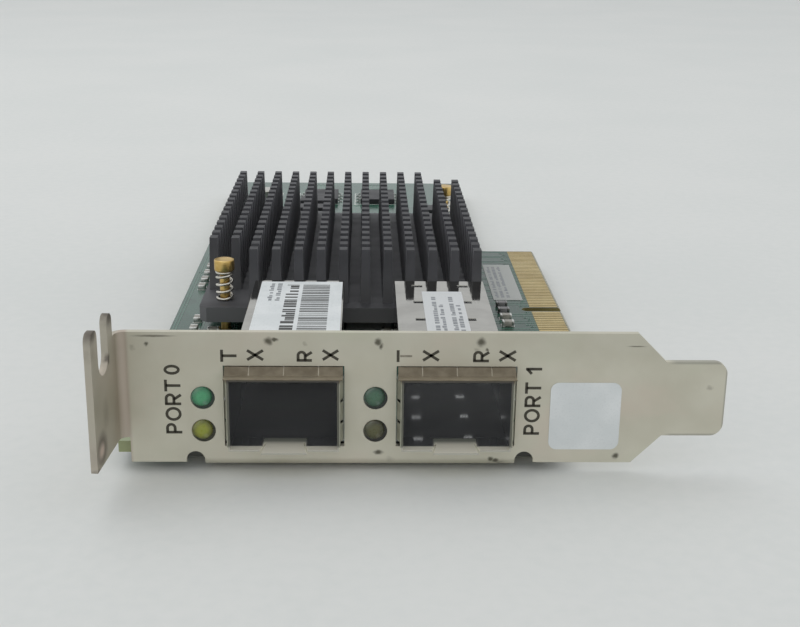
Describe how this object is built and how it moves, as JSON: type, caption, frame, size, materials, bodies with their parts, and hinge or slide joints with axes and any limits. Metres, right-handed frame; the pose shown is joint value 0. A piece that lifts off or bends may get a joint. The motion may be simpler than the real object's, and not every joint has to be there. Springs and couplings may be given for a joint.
{
  "type": "fibre channel adapter",
  "caption": "Low-profile server host adapter card: green board with gold edge connector, slotted bracket, optical module cages with lamps, and a black pin-fin heat sink on sprung pins.",
  "frame": {"origin": "on the bracket's outer face, midway between the two module ports, level with the board's component face", "axes": "+X along the bracket from tab to tongue, +Y from the bracket to the board's rear edge, +Z away from the component face"},
  "size_m": [0.0799, 0.1768, 0.0217],
  "materials": {
    "board_green": "satin solder mask over laminate",
    "contact_gold": "thin gold plating, semi-gloss",
    "bracket_nickel": "dull nickel plate, handled",
    "cage_steel": "bright tin-nickel plate",
    "collar_foil": "bright spring foil",
    "connector_black": "black moulded resin",
    "lamp_green": "translucent tinted lens",
    "lamp_amber": "translucent tinted lens",
    "sink_black": "black anodised, satin",
    "pin_brass": "turned brass",
    "spring_steel": "drawn wire",
    "screw_zinc": "zinc plate",
    "chip_black": "moulded epoxy",
    "lead_tin": "tin plate",
    "substrate_green": "laminate",
    "lid_nickel": "nickel plated lid",
    "pad_grey": "soft filled pad",
    "ferrite_grey": "pressed powder",
    "bulk_black": "moulded epoxy",
    "ceramic_tan": "fired ceramic",
    "label_white": "matt coated paper"
  },
  "bodies": {
    "root": {"board_label": "label_white", "bracket": "bracket_nickel", "bracket_screws": "screw_zinc", "bracket_sticker": "label_white", "bulk_capacitors": "bulk_black", "cage_label_0": "label_white", "cage_label_1": "label_white", "circuit_board": "board_green", "clock_oscillator": "lid_nickel", "component_side_capacitors": "ceramic_tan", "component_side_end_caps": "lead_tin", "connector_contacts_0": "contact_gold", "connector_contacts_1": "contact_gold", "controller_lid": "lid_nickel", "controller_substrate": "substrate_green", "edge_contacts_component_side": "contact_gold", "edge_contacts_solder_side": "contact_gold", "heat_sink": "sink_black", "lamp_holder_0": "connector_black", "lamp_holder_1": "connector_black", "lamp_leads": "lead_tin", "lamp_lower_0": "lamp_amber", "lamp_lower_1": "lamp_amber", "lamp_upper_0": "lamp_green", "lamp_upper_1": "lamp_green", "memory_chip_leads": "lead_tin", "memory_chips": "chip_black", "module_cage_0": "cage_steel", "module_cage_1": "cage_steel", "module_connector_0": "connector_black", "module_connector_1": "connector_black", "pin_spring_front": "spring_steel", "pin_spring_rear": "spring_steel", "power_inductors": "ferrite_grey", "push_pin_front": "pin_brass", "push_pin_rear": "pin_brass", "regulator_chips": "chip_black", "regulator_leads": "lead_tin", "solder_side_capacitors": "ceramic_tan", "solder_side_end_caps": "lead_tin", "spring_collar_0": "collar_foil", "spring_collar_1": "collar_foil", "thermal_pad": "pad_grey"}
  },
  "joints": []
}
